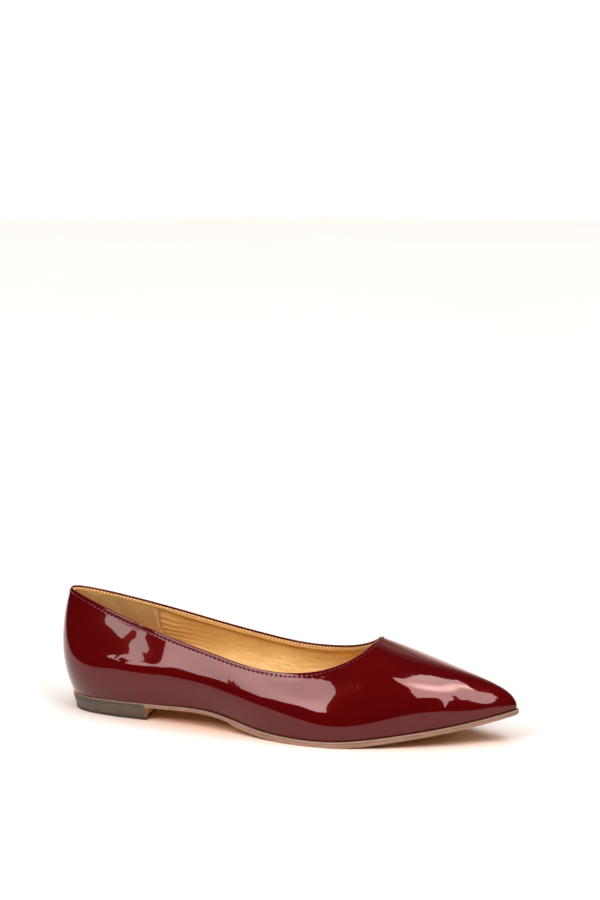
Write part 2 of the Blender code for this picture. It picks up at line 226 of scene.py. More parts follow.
def wall_frame(places, rises):
    """Outward unit normals of the outer face, and unit vectors up along it."""
    up = wall_points(places, np.minimum(rises + NUDGE, 1)) - wall_points(places, np.maximum(rises - NUDGE, 0))
    back = wall_points(places + NUDGE, rises) - wall_points(places - NUDGE, rises)
    return unit(np.cross(up, back)), unit(up)


def rises_at(places, depths):
    """Rises at these depths below the collar, measured along the wall. Both arrays are rows by columns."""
    steps = np.linspace(1, 0, 161)
    middle = places[len(places) // 2]
    fine = wall_points(np.tile(middle, (len(steps), 1)), np.tile(steps[:, None], (1, len(middle))))
    run = np.linalg.norm(np.diff(fine, axis=0), axis=2).cumsum(axis=0)
    run = np.vstack([np.zeros(len(middle)), run])
    found = [np.interp(depths[:, i], run[:, i], steps) for i in range(len(middle))]
    return np.column_stack(found), run[-1]


def feather_ring(places, offset, drop):
    """The foot outline grown by offset in plan, at drop below the feather line."""
    ring = around(places % TOE_TIP)[:, :2] + outward(places, 0) * np.reshape(offset, (-1, 1))
    return np.column_stack([ring, feather_level(ring[:, 0]) - drop])


def sole_rim(x):
    """How far the outsole stands out past the feather line: little at the seat, more at the forefoot."""
    return SEAT_RIM + smooth_step(x, BREAST_POSITION, TREAD_START) * (SOLE_RIM - SEAT_RIM)


# The solids were moved so that the middle of their box is over the origin. The same move brings these pieces there.
coarse_places = np.arange(0, TOE_TIP, 0.2)
coarse_rim = sole_rim(around(coarse_places)[:, 0])
SHIFT = np.append(
    feather_ring(coarse_places, coarse_rim, 0).min(axis=0)[:2] - np.array(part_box("outsole")[0])[:2], 0.0
)


# ---------------------------------------------------------------- materials

def linear(code):
    """An sRGB hex colour as a linear one."""
    shares = np.array([int(code[i:i + 2], 16) for i in (1, 3, 5)]) / 255
    return (*np.where(shares <= 0.04045, shares / 12.92, ((shares + 0.055) / 1.055) ** 2.4).tolist(), 1.0)


def add(tree, kind, settings=(), **links):
    """A node with its settings, and links to its inputs by name, with _ for a space."""
    node = tree.nodes.new(kind)
    for name, value in dict(settings).items():
        if hasattr(node, name):
            setattr(node, name, value)
        else:
            node.inputs[name].default_value = value
    for name, source in links.items():
        tree.links.new(source, node.inputs[name.replace("_", " ")])
    return node


def finish(name, tones, patch, roughness, reliefs, **sockets):
    """A material from its real measures.

    tones are two colours mixed in soft patches of the given size in mm, roughness is a range that follows the same
    patches, and reliefs are (texture, size in mm, height in mm, stretch along x, y, z).
    """
    made = bpy.data.materials.new(name)
    made.use_nodes = True
    tree = made.node_tree
    shader = tree.nodes["Principled BSDF"]
    where = add(tree, "ShaderNodeTexCoord").outputs["Object"]
    blotch = add(tree, "ShaderNodeTexNoise", {"Scale": 1 / (patch * MM), "Detail": 4.0}, Vector=where)
    blotch = blotch.outputs["Fac"]
    ramp = add(tree, "ShaderNodeMapRange", {"From Min": 0.3, "From Max": 0.7}, Value=blotch).outputs[0]
    mixed = add(tree, "ShaderNodeMix", {"data_type": "RGBA"}, Factor=ramp)
    mixed.inputs[6].default_value = linear(tones[0])
    mixed.inputs[7].default_value = linear(tones[1])
    tree.links.new(mixed.outputs[2], shader.inputs["Base Color"])
    rough = add(tree, "ShaderNodeMapRange", {"To Min": roughness[0], "To Max": roughness[1]}, Value=ramp)
    tree.links.new(rough.outputs[0], shader.inputs["Roughness"])
    normal = None
    for kind, size, height, stretch in reliefs:
        moved = add(tree, "ShaderNodeMapping", {"Scale": stretch}, Vector=where).outputs[0]
        if kind == "cells":
            texture = add(tree, "ShaderNodeTexVoronoi", {"Scale": 1 / (size * MM)}, Vector=moved).outputs["Distance"]
        else:
            texture = add(tree, "ShaderNodeTexNoise", {"Scale": 1 / (size * MM), "Detail": 3.0}, Vector=moved)
            texture = texture.outputs["Fac"]
        bump = add(tree, "ShaderNodeBump", {"Distance": height * MM}, Height=texture)
        if normal:
            tree.links.new(normal, bump.inputs["Normal"])
        normal = bump.outputs[0]
    if normal:
        tree.links.new(normal, shader.inputs["Normal"])
        if "Coat_Weight" in sockets:
            tree.links.new(normal, shader.inputs["Coat Normal"])
    for socket, value in sockets.items():
        shader.inputs[socket.replace("_", " ")].default_value = value
    return made


EVEN = (1, 1, 1)

# Patent leather: split leather under a thick cast film, so a deep red below and a wet, slightly wavy gloss above.
patent_leather = finish(
    "patent_leather_cast_film", ("#540507", "#4c0405"), 22, (0.10, 0.14), [("noise", 5.0, 0.004, EVEN)],
    IOR=1.5, Specular_IOR_Level=0.2, Specular_Tint=linear("#ff5a50"), Coat_Weight=1.0, Coat_Roughness=0.012,
    Coat_IOR=1.42,
)
# The cut back of the patent, inside the wall: brown split leather with a matt nap.
split_leather = finish("split_leather_back", ("#7d5a40", "#6a4a34"), 6, (0.8, 0.9), [("noise", 0.6, 0.08, EVEN)])
# Polyurethane lining cloth, embossed: tan, soft gloss, fine pebble grain and small creases.
lining_cloth = finish(
    "embossed_lining_leather", ("#eecb86", "#e0b871"), 16, (0.36, 0.48),
    [("cells", 0.9, 0.05, EVEN), ("noise", 2.6, 0.34, (0.4, 1, 2.0))], IOR=1.47,
)
# The same lining skived thin at its cut edge, coloured darker than the lining as painted shade behind the piping's
# pale stitches.
lining_lip_painted_shade = finish("skived_lining_edge_painted_shade", ("#d6a55f", "#c6934e"), 5, (0.5, 0.6), [("noise", 0.5, 0.04, EVEN)])
# Piping: lining leather rolled over a cord, stretched a little smoother and more golden.
piping_leather = finish(
    "rolled_piping_leather", ("#d0a257", "#bd8e45"), 9, (0.34, 0.44), [("cells", 0.7, 0.03, EVEN)], IOR=1.47,
)
# Heel grip: brushed microfibre suede, so no gloss, a soft nap and cloudy shading.
grip_suede = finish(
    "brushed_microfibre_suede", ("#dabb7e", "#c6a568"), 7, (0.85, 0.95),
    [("noise", 0.45, 0.12, EVEN), ("noise", 4.0, 0.10, EVEN)], Sheen_Weight=0.35, Sheen_Roughness=0.5,
)
# Polyester thread with a soft sheen, one lot dyed to the patent and one to the lining; the tan lot is made paler than
# the lining, a painted highlight on the small stitches.
red_thread = finish("polyester_thread_red", ("#4d0d1a", "#661a28"), 1.2, (0.4, 0.5), [("noise", 0.25, 0.05, EVEN)])
tan_thread_painted_highlight = finish("polyester_thread_tan_painted_highlight", ("#fce6bd", "#f2cf94"), 1.2, (0.4, 0.5), [("noise", 0.25, 0.05, EVEN)])
# Sock: the lining cloth over thin foam, worn a little smoother where the foot rests.
sock_leather = finish(
    "padded_sock_leather", ("#e0ae63", "#d09a50"), 20, (0.45, 0.58), [("cells", 1.0, 0.05, EVEN)], IOR=1.47,
)
# Sole edge: moulded thermoplastic rubber, so an even taupe, matt, with the mould's fine bloom.
sole_rubber = finish(
    "moulded_rubber_taupe", ("#a6816c", "#94725d"), 9, (0.52, 0.66), [("noise", 0.8, 0.02, EVEN)], IOR=1.5,
)
# The sole's raised lip: the same rubber rubbed smoother, and coloured paler and greyer than the side as a painted
# highlight, the thin pale line of light along it.
lip_rubber_painted_highlight = finish(
    "moulded_rubber_lip_painted_highlight", ("#a59684", "#918270"), 6, (0.42, 0.55), [("noise", 0.8, 0.015, EVEN)], IOR=1.5,
)
# Underside: translucent gum rubber, honey coloured, matt from the mould.
gum_rubber = finish(
    "moulded_gum_rubber", ("#b88a3a", "#a5752a"), 12, (0.5, 0.65), [("noise", 0.9, 0.03, EVEN)], IOR=1.5,
)
# Heel side: darker solid rubber with a dull, slightly grainy face.
heel_rubber = finish(
    "moulded_heel_rubber", ("#5e5248", "#52473e"), 7, (0.5, 0.64), [("noise", 0.7, 0.02, EVEN)], IOR=1.5,
)
# The heel's breast, where the golden gum shows bare, coloured much lighter than the underside's gum as painted light
# on a face that stands in shade.
breast_gum_painted_light = finish(
    "heel_breast_gum_painted_light", ("#f2c04a", "#dcaa3c"), 5, (0.45, 0.6), [("noise", 0.7, 0.03, EVEN)], IOR=1.5,
)
# Top piece: hard wear rubber, nearly black and rougher than the rest.
tread_rubber = finish(
    "ribbed_wear_rubber", ("#4a3d36", "#3a2f29"), 4, (0.6, 0.75), [("noise", 0.5, 0.05, EVEN)], IOR=1.5,
)


# ---------------------------------------------------------------- meshes

def placed(name, mesh):
    """The mesh as an object of the scene."""
    made = bpy.data.objects.new(name, mesh)
    bpy.context.scene.collection.objects.link(made)
    return made


def piece(name, points, faces, materials, slots=None):
    """A smooth mesh piece, moved from the shoe's frame onto the model. slots holds each face's material number."""
    mesh = bpy.data.meshes.new(name)
    mesh.from_pydata((np.asarray(points) - SHIFT).tolist(), [], [tuple(face) for face in faces])
    for material in materials:
        mesh.materials.append(material)
    if slots is not None:
        mesh.polygons.foreach_set("material_index", slots)
    work = bmesh.new()
    work.from_mesh(mesh)
    bmesh.ops.recalc_face_normals(work, faces=work.faces)
    work.to_mesh(mesh)
    work.free()
    mesh.shade_smooth()
    return placed(name, mesh)


def quads(rows, columns, round_rows, round_columns):
    """Quads of a grid of points, closed on itself along either way."""
    grid = np.arange(rows * columns).reshape(rows, columns)
    if round_rows:
        grid = np.vstack([grid, grid[:1]])
    if round_columns:
        grid = np.hstack([grid, grid[:, :1]])
    corners = [grid[:-1, :-1], grid[:-1, 1:], grid[1:, 1:], grid[1:, :-1]]
    return np.stack([corner.ravel() for corner in corners], axis=1)


def sheet_faces(rows, columns):
    """Faces of a sheet with thickness: a grid of points, then the same grid behind it, joined round the border."""
    front = quads(rows, columns, False, False)
    size = rows * columns
    grid = np.arange(size).reshape(rows, columns)
    border = np.concatenate([grid[0], grid[1:, -1], grid[-1, -2::-1], grid[-2:0:-1, 0]])
    after = np.roll(border, -1)
    sides = np.stack([border, after, after + size, border + size], axis=1)
    return np.concatenate([front, front[:, ::-1] + size, sides])


def settle(obj, slot, *nodes):
    """The piece moves with the shoe and stands for those solids, which it hides. slot is not used."""
    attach(obj, "root")
    if nodes:
        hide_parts(*nodes)
    return obj


def resample(points, normals, pitch, closed):
    """Evenly spaced points on a line, about pitch apart, with unit vectors along it and outward."""
    if closed:
        points, normals = np.vstack([points, points[:1]]), np.vstack([normals, normals[:1]])
    run = np.append(0, np.linalg.norm(np.diff(points, axis=0), axis=1).cumsum())
    count = int(round(run[-1] / pitch))
    steps = (np.arange(count) + 0.5) * run[-1] / count

    def at(values, where):
        return np.column_stack([np.interp(where, run, values[:, i]) for i in range(3)])

    along = unit(at(points, steps + 0.2 * MM) - at(points, steps - 0.2 * MM))
    return at(points, steps), along, unit(at(normals, steps))


def stitches(name, lines, length, radius, arch, slant, material):
    """Short rounded threads, one at each point of the lines, with their ends going down into the leather.

    arch is how high the middle stands and how deep the ends go. slant holds the leans that take turns.
    """
    rings, sides, blunt_end = 7, 7, 0.02
    share = np.linspace(-1, 1, rings)
    thick = radius * np.sqrt(np.maximum(1 - share**6, blunt_end))
    turn = np.arange(sides) * 2 * np.pi / sides
    points, faces, start = [], [], 0
    block = quads(rings, sides, False, True)
    for centres, along, out in lines:
        for i in range(len(centres)):
            lean = slant[i % len(slant)]
            across = np.cross(out[i], along[i])
            way = along[i] * np.cos(lean) + across * np.sin(lean)
            side = np.cross(out[i], way)
            spine = centres[i] + share[:, None] * length / 2 * way + (arch * (1 - 2 * share**2))[:, None] * out[i]
            circle = np.cos(turn)[:, None] * side + np.sin(turn)[:, None] * out[i]
            points.append((spine[:, None] + thick[:, None, None] * circle[None]).reshape(-1, 3))
            faces += (block + start).tolist()
            faces.append(range(start, start + sides))
            faces.append(range(start + (rings - 1) * sides, start + rings * sides))
            start += rings * sides
    return piece(name, np.vstack(points), faces, [material])


# ---------------------------------------------------------------- upper

COLUMNS = 1440
places = np.arange(COLUMNS) * TOE_TIP / COLUMNS
# Depths of the rows near the collar, where stitches pull the film in, and the count of even rows below them.
COLLAR_ROWS = np.array([0, 0.35, 0.7, 1.05, 1.4, 1.75, 2.1, 2.45, 2.8, 3.3, 4.0]) * MM
BODY_ROWS = 36
STITCH_ROW = 5
STITCH_DEPTH = COLLAR_ROWS[STITCH_ROW]
STITCH_PITCH = 2.7 * MM
STITCH_GROOVE = 0.12 * MM
EDGE_PUCKER = 0.07 * MM
COLLAR_LEAN = 0.42 * MM
COLLAR_LEAN_DEPTH = 7 * MM
FILM_WAVE = 0.010 * MM
FILM_WAVE_SIZE = 18.0
SKIN_THICKNESS = 0.8 * MM
FOOT_TUCK = 0.3 * MM
# Rows of the outer face that its back follows, besides the last one.
BACK_ROWS = [5, 12, 20, 28, 36, 44]
# The patent's edge folded over at the collar: inward and up from the outer face's top edge, in mm.
FOLD = [
    (0.06, 0.20), (0.20, 0.38), (0.42, 0.46), (0.68, 0.40), (0.90, 0.22), (1.02, -0.05), (1.08, -0.50), (1.05, -1.3),
]

# Soft troughs (height below 0) and ridges in the patent: place and depth in mm below the collar of both ends,
# then height and width in mm.
CREASES = [
    (2.84, 21.5, 2.62, 17.0, -0.035, 0.55),
    (1.86, 8.6, 1.82, 7.4, -0.03, 0.5),
    (17.3, 6.0, 17.0, 22.0, -0.25, 3.5),
    (17.9, 8.0, 17.6, 26.0, -0.18, 3.0),
    (16.6, 5.0, 16.4, 18.0, -0.15, 3.0),
    (13.4, 4.0, 13.2, 20.0, -0.15, 6.0),
]
# Soft dents and swells of the outer side, which bend the mirrored lights: place, depth, half widths along and down
# the wall, and height. All but the place are in mm.
SWELLS = [
    (8.14, 37.2, 7.4, 10.0, -0.35),
    (8.17, 30.4, 12.6, 4.7, -0.28),
    (7.71, 26.8, 7.9, 11.9, 0.15),
    (6.91, 15.5, 7.1, 9.2, 0.31),
    (8.45, 16.5, 9.5, 13.6, -0.05),
    (4.82, 33.0, 7.8, 9.9, -0.16),
    (4.66, 35.6, 12.3, 9.8, -0.26),
    (3.85, 4.4, 9.2, 9.0, -0.37),
    (3.12, 6.6, 7.8, 7.7, 0.37),
    (2.25, 12.3, 6.2, 9.7, -0.11),
    (1.75, 55.8, 10.1, 4.4, 0.07),
    (0.77, 54.7, 5.5, 10.0, 0.38),
    (0.11, 65.6, 6.2, 8.9, -0.08),
]


def at_depth(place, depth):
    """One point of the outer face, at a depth in mm below the collar."""
    column = np.full((1, 1), float(place))
    rise, _ = rises_at(column, np.full((1, 1), depth * MM))
    return wall_points(column, rise)[0, 0]


def distance_to_line(points, start, end):
    """Distance from each point to a straight line between two points."""
    way = end - start
    share = np.clip(((points - start) @ way) / (way @ way), 0, 1)
    return np.linalg.norm(points - start - share[..., None] * way, axis=-1)


def wave_field(points, size, seed):
    """Soft random waves of that size in mm, about -1 to 1, at each point."""
    scaled = points / (size * MM) + seed
    flat = [noise.noise(Vector(point)) for point in scaled.reshape(-1, 3)]
    return np.array(flat).reshape(points.shape[:-1])


def collar_line(depth, inward, pitch):
    """Evenly spaced points along the whole collar, at a depth below it and inward from the outer face."""
    columns = np.arange(0, TOE_TIP, 0.005)[None]
    rise, _ = rises_at(columns, np.full(columns.shape, depth))
    normals, _ = wall_frame(columns, rise)
    points = wall_points(columns, rise) - normals * inward
    return resample(points[0], normals[0], pitch, True)


def make_patent_upper():
    """One closed skin: the outer face, its edge folded over at the collar, and its back inside the wall."""
    columns = np.tile(places, (len(COLLAR_ROWS) + BODY_ROWS, 1))
    _, length = rises_at(columns[:1], np.zeros((1, COLUMNS)))
    body = np.linspace(0, 1, BODY_ROWS + 1)[1:, None]
    depths = np.vstack([
        np.tile(COLLAR_ROWS[:, None], (1, COLUMNS)),
        COLLAR_ROWS[-1] + body * (length - COLLAR_ROWS[-1]),
    ])
    rises, _ = rises_at(columns, depths)
    rises[-1] = 0
    points = wall_points(columns, rises)
    normals, ups = wall_frame(columns, rises)
    relief = np.zeros(depths.shape)
    for start_place, start_depth, end_place, end_depth, height, width in CREASES:
        distance = distance_to_line(points, at_depth(start_place, start_depth), at_depth(end_place, end_depth))
        relief += height * MM * bell(distance, width * MM)
    off_edges = smooth_step(depths, MM, 6 * MM) * smooth_step(length - depths, 0.5 * MM, 5 * MM)
    for place, depth, along, down, height in SWELLS:
        across = bell((columns - place) * PLACE_LENGTH, along * MM)
        relief += height * MM * off_edges * across * bell(depths - depth * MM, down * MM)
    # At the sides the edge is drawn in a little towards the foot.
    side = np.minimum(columns, TOE_TIP - columns)
    drawn = smooth_step(side, 4.6, 5.8) * (1 - smooth_step(side, 6.9, 7.5))
    relief -= COLLAR_LEAN * drawn * np.maximum(1 - depths / COLLAR_LEAN_DEPTH, 0) ** 2
    fade = smooth_step(depths, 2 * MM, 12 * MM) * smooth_step(length - depths, 0, 8 * MM)
    relief += fade * FILM_WAVE * wave_field(points, FILM_WAVE_SIZE, 3.1)
    # The thread pulls the film down into a shallow groove, deepest between the holes, and the edge above puckers up.
    line = points[STITCH_ROW]
    run = np.append(0, np.linalg.norm(np.diff(np.vstack([line, line[:1]]), axis=0), axis=1).cumsum())
    pitch = run[-1] / round(run[-1] / STITCH_PITCH)
    to_hole = np.abs((run[:-1] / pitch + 0.5) % 1 - 0.5) * pitch
    pull = bell(depths - STITCH_DEPTH, 0.45 * MM)
    relief -= pull * STITCH_GROOVE * (1 - bell(to_hole, 0.55 * MM))
    relief += EDGE_PUCKER * bell(depths - 0.8 * MM, 0.5 * MM)
    outer = points + normals * relief[..., None]
    edge, out, up = points[0], normals[0], ups[0]
    folded = np.array([edge - out * inward * MM + up * rise * MM for inward, rise in FOLD])
    back = np.array([points[row] - normals[row] * SKIN_THICKNESS for row in (*BACK_ROWS, len(outer) - 1)])
    back[-1] = feather_ring(places, -SKIN_THICKNESS, GAP * 0.9)
    foot = feather_ring(places, -FOOT_TUCK, GAP * 0.9)[None]
    rings = np.concatenate([folded[::-1], outer, foot, back[::-1]])
    faces = quads(len(rings), COLUMNS, True, True)
    slots = np.zeros((len(rings), COLUMNS), int)
    slots[len(folded) + len(outer):] = 1
    made = piece("patent_upper", rings.reshape(-1, 3), faces, [patent_leather, split_leather], slots.ravel())
    return settle(made, "patent", "upper")


# ---------------------------------------------------------------- inside

GRIP_OUTER = 7.6
GRIP_INNER = 12.4
BEAD_RADIUS = 1.0 * MM
BEAD_DEPTH = 2.15 * MM
BEAD_INWARD = 2.0 * MM
# How thin the bead is over the grip, and how much higher it lies there.
BEAD_THIN = 0.55
BEAD_LIFT = 0.45 * MM
inside_places = np.arange(640) * TOE_TIP / 640
# The lining's lip beside the fold: inward and up from the outer face's top edge, in mm.
LIP = [(1.05, -1.5), (1.08, -0.8), (1.18, -0.42), (1.36, -0.28), (1.58, -0.40), (1.72, -0.72), (1.74, -1.2)]
LINING_TOP = 1.6 * MM
LINING_ROWS = 46
LINING_BACK = 0.95 * MM
GROOVE_DEPTH = 3.4 * MM
GROOVE = 0.40 * MM
GATHER_PITCH = 3.4 * MM
GATHER_REACH = 12 * MM
GATHER_HEIGHT = 0.60 * MM
SOFT_WAVE = 0.22 * MM
# Fine creases, low at the back and higher towards the vamp.
CRUMPLE_BACK, CRUMPLE_FRONT = 0.16 * MM, 0.66 * MM
GRIP_TOP = 2.1 * MM
GRIP_THICKNESS = 0.25 * MM
GRIP_RIM = 0.3 * MM
TEETH_PITCH = 2.0 * MM


def inside_points(columns, depths, inward):
    """Points of the wall's inner side, at depths below the collar and inward from the outer face."""
    rises, length = rises_at(columns, depths)
    normals, _ = wall_frame(columns, rises)
    return wall_points(columns, rises) - normals * inward[..., None], length


def make_lining():
    """The lining, from its skived lip beside the patent's fold down to the insole, with its creases and gathers."""
    count = len(inside_places)
    columns = inside_places[None]
    normals, ups = wall_frame(columns, np.ones(columns.shape))
    edge = wall_points(columns, np.ones(columns.shape))[0]
    top = np.array([edge - normals[0] * inward * MM + ups[0] * rise * MM for inward, rise in LIP])
    columns = np.tile(inside_places, (LINING_ROWS, 1))
    _, length = rises_at(columns[:1], np.zeros((1, count)))
    share = np.linspace(0, 1, LINING_ROWS)[:, None] ** 1.15
    depths = LINING_TOP + share * (length * 0.965 - LINING_TOP)
    groove = -GROOVE * bell(depths - GROOVE_DEPTH, 0.6 * MM)
    low = smooth_step(depths, 5 * MM, 9 * MM)
    base, _ = inside_points(columns, depths, np.full(depths.shape, WALL))
    # Gathers fan out forward from the grip's seam on the side that shows.
    from_seam = np.maximum(columns - GRIP_INNER, 0) * PLACE_LENGTH
    ahead = (columns > GRIP_INNER) * bell(from_seam, GATHER_REACH)
    fan = np.sin(2 * np.pi * (depths / GATHER_PITCH + from_seam / (40 * MM)) + 2.2 * wave_field(base, 9.0, 2.2))
    crumple = np.abs(wave_field(base * np.array([0.55, 1, 1.5]), 3.4, 5.5))
    forward = smooth_step(base[..., 0], 80 * MM, 130 * MM)
    relief = groove + low * (GATHER_HEIGHT * ahead * fan + SOFT_WAVE * wave_field(base, 11.0, 1.4))
    relief += low * (CRUMPLE_BACK + (CRUMPLE_FRONT - CRUMPLE_BACK) * forward) * (0.5 - crumple)
    wall, _ = inside_points(columns, depths, WALL + relief)
    back, _ = inside_points(columns[::-7], depths[::-7], np.full(depths[::-7].shape, LINING_BACK))
    rings = np.concatenate([top, wall, back])
    slots = np.zeros((len(rings), count), int)
    # The lip's faces take the darker edge cloth, painted shade behind the piping's stitches.
    slots[:len(top) - 1] = 1
    faces = quads(len(rings), count, True, True)
    made = piece("lining", rings.reshape(-1, 3), faces, [lining_cloth, lining_lip_painted_shade], slots.ravel())
    return settle(made, "sock")


def make_piping_bead():
    """The piping: lining rolled over a cord, in a round bead along the inside of the collar."""
    sides = 14
    columns = inside_places[None]
    thin = smooth_step(columns, GRIP_OUTER - 0.5, GRIP_OUTER)
    thin = thin * (1 - smooth_step(columns, GRIP_INNER, GRIP_INNER + 0.5))
    size = 1 - (1 - BEAD_THIN) * thin
    rise, _ = rises_at(columns, BEAD_DEPTH - BEAD_LIFT * thin)
    normals, ups = wall_frame(columns, rise)
    centre = wall_points(columns, rise)[0] - normals[0] * BEAD_INWARD
    turn = np.arange(sides) * 2 * np.pi / sides
    pinch = size[0] * (1 + 0.05 * wave_field(centre, 6.0, 4.4))
    rings = [
        centre + BEAD_RADIUS * pinch[:, None] * (-normals[0] * np.cos(angle) * 0.92 + ups[0] * np.sin(angle))
        for angle in turn
    ]
    made = piece("piping_bead", np.vstack(rings), quads(sides, len(inside_places), True, True), [piping_leather])
    return settle(made, "sock")


def make_piping_stitches():
    """A fine slanting row where the piping is sewn to the lining's lip."""
    line = collar_line(0.8 * MM, 1.86 * MM, 1.9 * MM)
    line = (line[0], line[1], -line[2])
    # The pale thread is partly a painted highlight on the piping's stitch teeth.
    made = stitches("piping_stitches", [line], 1.5 * MM, 0.36 * MM, 0.2 * MM, (0.8,), tan_thread_painted_highlight)
    return settle(made, "sock")


def make_collar_stitches():
    """One row of red thread round the collar."""
    line = collar_line(STITCH_DEPTH, 0.02 * MM, STITCH_PITCH)
    made = stitches("collar_stitches", [line], 1.6 * MM, 0.42 * MM, 0.14 * MM, (0.0,), red_thread)
    return settle(made, "patent")


def grip_edge(depths):
    """The pinked front edge of the grip: its teeth, as a share of a place."""
    return 0.035 * (2 * np.abs((depths / TEETH_PITCH) % 1 - 0.5) - 0.5)


def make_heel_grip():
    """The suede grip round the heel, over the lining, with pinked front edges."""
    rows, count = 56, 150
    share = np.linspace(0, 1, count)[None]
    even = np.tile(GRIP_OUTER * (1 - share) + GRIP_INNER * share, (rows, 1))
    _, length = rises_at(even[:1], np.zeros((1, count)))
    down = np.linspace(0, 1, rows)[:, None]
    depths = GRIP_TOP + down * (length * 0.95 - GRIP_TOP)
    columns = even + grip_edge(depths) * (bell(share, 0.03) * -1 + bell(1 - share, 0.03))
    base, _ = inside_points(columns, depths, np.full(depths.shape, WALL))
    soft = 0.18 * MM * wave_field(base, 12.0, 6.1)
    rim = smooth_step(np.minimum(share, 1 - share) * 100 * MM, 0, 1.2 * MM)
    front, _ = inside_points(columns, depths, WALL + GRIP_THICKNESS + soft + GRIP_RIM * rim)
    back, _ = inside_points(columns, depths, np.full(depths.shape, WALL - 0.5 * MM))
    points = np.vstack([front.reshape(-1, 3), back.reshape(-1, 3)])
    made = piece("heel_grip", points, sheet_faces(rows, count), [grip_suede])
    return settle(made, "sock")


def make_grip_stitches():
    """Zigzag thread down both front edges of the grip."""
    lines = []
    for place, toward in ((GRIP_OUTER, 1), (GRIP_INNER, -1)):
        rows = 120
        columns = np.full((rows, 1), place + toward * 0.06)
        _, length = rises_at(columns[:1], np.zeros((1, 1)))
        depths = np.linspace(4.6 * MM, length[0] * 0.9, rows)[:, None]
        rises, _ = rises_at(columns, depths)
        normals, _ = wall_frame(columns, rises)
        points = wall_points(columns, rises) - normals * (WALL + 0.6 * MM)
        lines.append(resample(points[:, 0], -normals[:, 0], 1.3 * MM, False))
    # The pale thread is partly a painted highlight on the grip's zigzag stitches.
    made = stitches("grip_stitches", lines, 2.2 * MM, 0.2 * MM, 0.1 * MM, (0.9, -0.9), tan_thread_painted_highlight)
    return settle(made, "sock")


def make_sock():
    """The sock: a thin foam pad under lining leather, crowned a little and tucked down round its edge."""
    rows, across = 160, 25
    ends = np.linspace(0.15, HEEL_BACK - 0.12, rows)

    def edge(side_places, height):
        columns = side_places[None]
        rise = np.full(columns.shape, 1 / 11)
        normals, _ = wall_frame(columns, rise)
        high = (wall_points(columns, rise) - normals * WALL)[0]
        low = feather_ring(side_places, -WALL, 0.0)
        return low + (high - low) / (high - low)[:, 2:] * height

    outer, inner = edge(ends, INSOLE_THICKNESS), edge(TOE_TIP - ends, INSOLE_THICKNESS)
    outer_foot, inner_foot = edge(ends, 0.1 * MM), edge(TOE_TIP - ends, 0.1 * MM)
    share = np.linspace(0, 1, across)[None, :, None]
    top = outer[:, None] * (1 - share) + inner[:, None] * share
    level = feather_level(top[..., 0].ravel()).reshape(top.shape[:2])
    from_edge = np.minimum(share[..., 0], 1 - share[..., 0]) * np.linalg.norm(outer - inner, axis=1)[:, None]
    crown = smooth_step(from_edge, 0, 4 * MM)
    top[..., 2] = level + INSOLE_THICKNESS - 0.7 * MM * (1 - crown) + 0.15 * MM * wave_field(top, 14.0, 7.7)
    under = outer_foot[:, None] * (1 - share) + inner_foot[:, None] * share
    points = np.vstack([top.reshape(-1, 3), under.reshape(-1, 3)])
    made = piece("sock", points, sheet_faces(rows, across), [sock_leather])
    return settle(made, "sock", "insole")


# ---------------------------------------------------------------- sole and heel

# The sole's edge from top to underside, in mm: inset, then depth below the top or height above the underside.
SOLE_EDGE = [
    (2.2, 0.25, None), (1.0, 0.10, None), (0.45, 0.0, None), (0.15, 0.08, None), (0.0, 0.32, None),
    (0.0, 0.80, None), (0.10, 0.93, None), (0.36, 1.00, None), (0.40, 1.10, None), (0.30, 1.22, None),
    (0.20, 1.35, None), (0.20, None, 0.75), (0.24, None, 0.45), (0.36, None, 0.20), (0.60, None, 0.05),
    (0.90, None, 0.0),
]
LIP_ROWS = slice(2, 4)
SIDE_ROWS = slice(4, None)
LEAST_EDGE = 0.8 * MM
RIB_PITCH = 2.4 * MM
RIB_HEIGHT = 0.45 * MM
RIBS_START, RIBS_FULL = 122 * MM, 126 * MM


